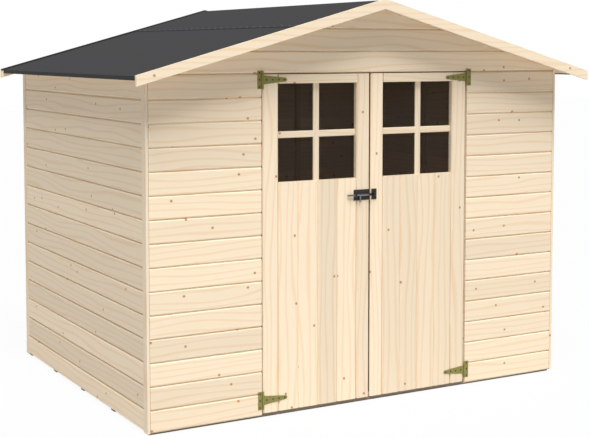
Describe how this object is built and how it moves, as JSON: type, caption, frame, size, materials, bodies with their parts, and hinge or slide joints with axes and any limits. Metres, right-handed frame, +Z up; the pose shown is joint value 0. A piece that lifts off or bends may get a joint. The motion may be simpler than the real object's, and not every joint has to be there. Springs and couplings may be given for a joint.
{
  "type": "wooden garden shed",
  "caption": "Garden shed of horizontal boards with a felted apex roof and a pair of glazed boarded doors on T-hinges, closed by a sliding bolt.",
  "frame": {"origin": "middle of the roof's outline at ground level", "axes": "+X along the front to the right, +Y from front to rear, +Z up"},
  "size_m": [2.651, 2.088, 2.0544],
  "materials": {
    "spruce": "planed, untreated",
    "framing": "sawn",
    "felt": "mineral grit on bitumen",
    "zinc": "yellow passivated zinc",
    "black_iron": "black lacquer",
    "bolt_steel": "bright steel",
    "glass": "clear"
  },
  "bodies": {
    "root": {"floor_bearers": "framing", "floor_boards": "framing", "left_wall": "spruce", "right_wall": "spruce", "rear_wall": "spruce", "front_left_panel": "spruce", "front_right_panel": "spruce", "front_gable": "spruce", "rear_gable": "spruce", "corner_trims": "spruce", "wall_rails": "framing", "wall_studs": "framing", "gable_ties": "framing", "gable_rafters": "framing", "ridge_beam": "framing", "purlins": "framing", "left_roof_deck": "framing", "right_roof_deck": "framing", "left_felt": "felt", "right_felt": "felt", "ridge_felt": "felt", "front_left_bargeboard": "spruce", "front_right_bargeboard": "spruce", "rear_left_bargeboard": "spruce", "rear_right_bargeboard": "spruce", "left_hinge_plates": "zinc", "right_hinge_plates": "zinc"},
    "left_door": {"left_hinge_board": "spruce", "left_meeting_board": "spruce", "left_lower_panel": "spruce", "left_head_rail": "spruce", "left_ledges": "framing", "left_glass": "glass", "left_hinge_straps": "zinc", "bolt_plate": "black_iron"},
    "right_door": {"right_hinge_board": "spruce", "right_meeting_board": "spruce", "right_lower_panel": "spruce", "right_head_rail": "spruce", "right_ledges": "framing", "right_glass": "glass", "right_hinge_straps": "zinc", "bolt_keeper": "black_iron"},
    "bolt": {"bolt_rod": "bolt_steel"}
  },
  "joints": [
    {"name": "left_door_hinge", "type": "hinge", "parent": "root", "child": "left_door", "pos_m": [-0.6135, -0.8995, 0.87], "axis": [0, 0, -1], "range_deg": [0, 150]},
    {"name": "right_door_hinge", "type": "hinge", "parent": "root", "child": "right_door", "pos_m": [0.6135, -0.8995, 0.87], "axis": [0, 0, 1], "range_deg": [0, 150]},
    {"name": "bolt_slide", "type": "slide", "parent": "left_door", "child": "bolt", "axis": [1, 0, 0], "range_m": [0, 0.044]}
  ]
}
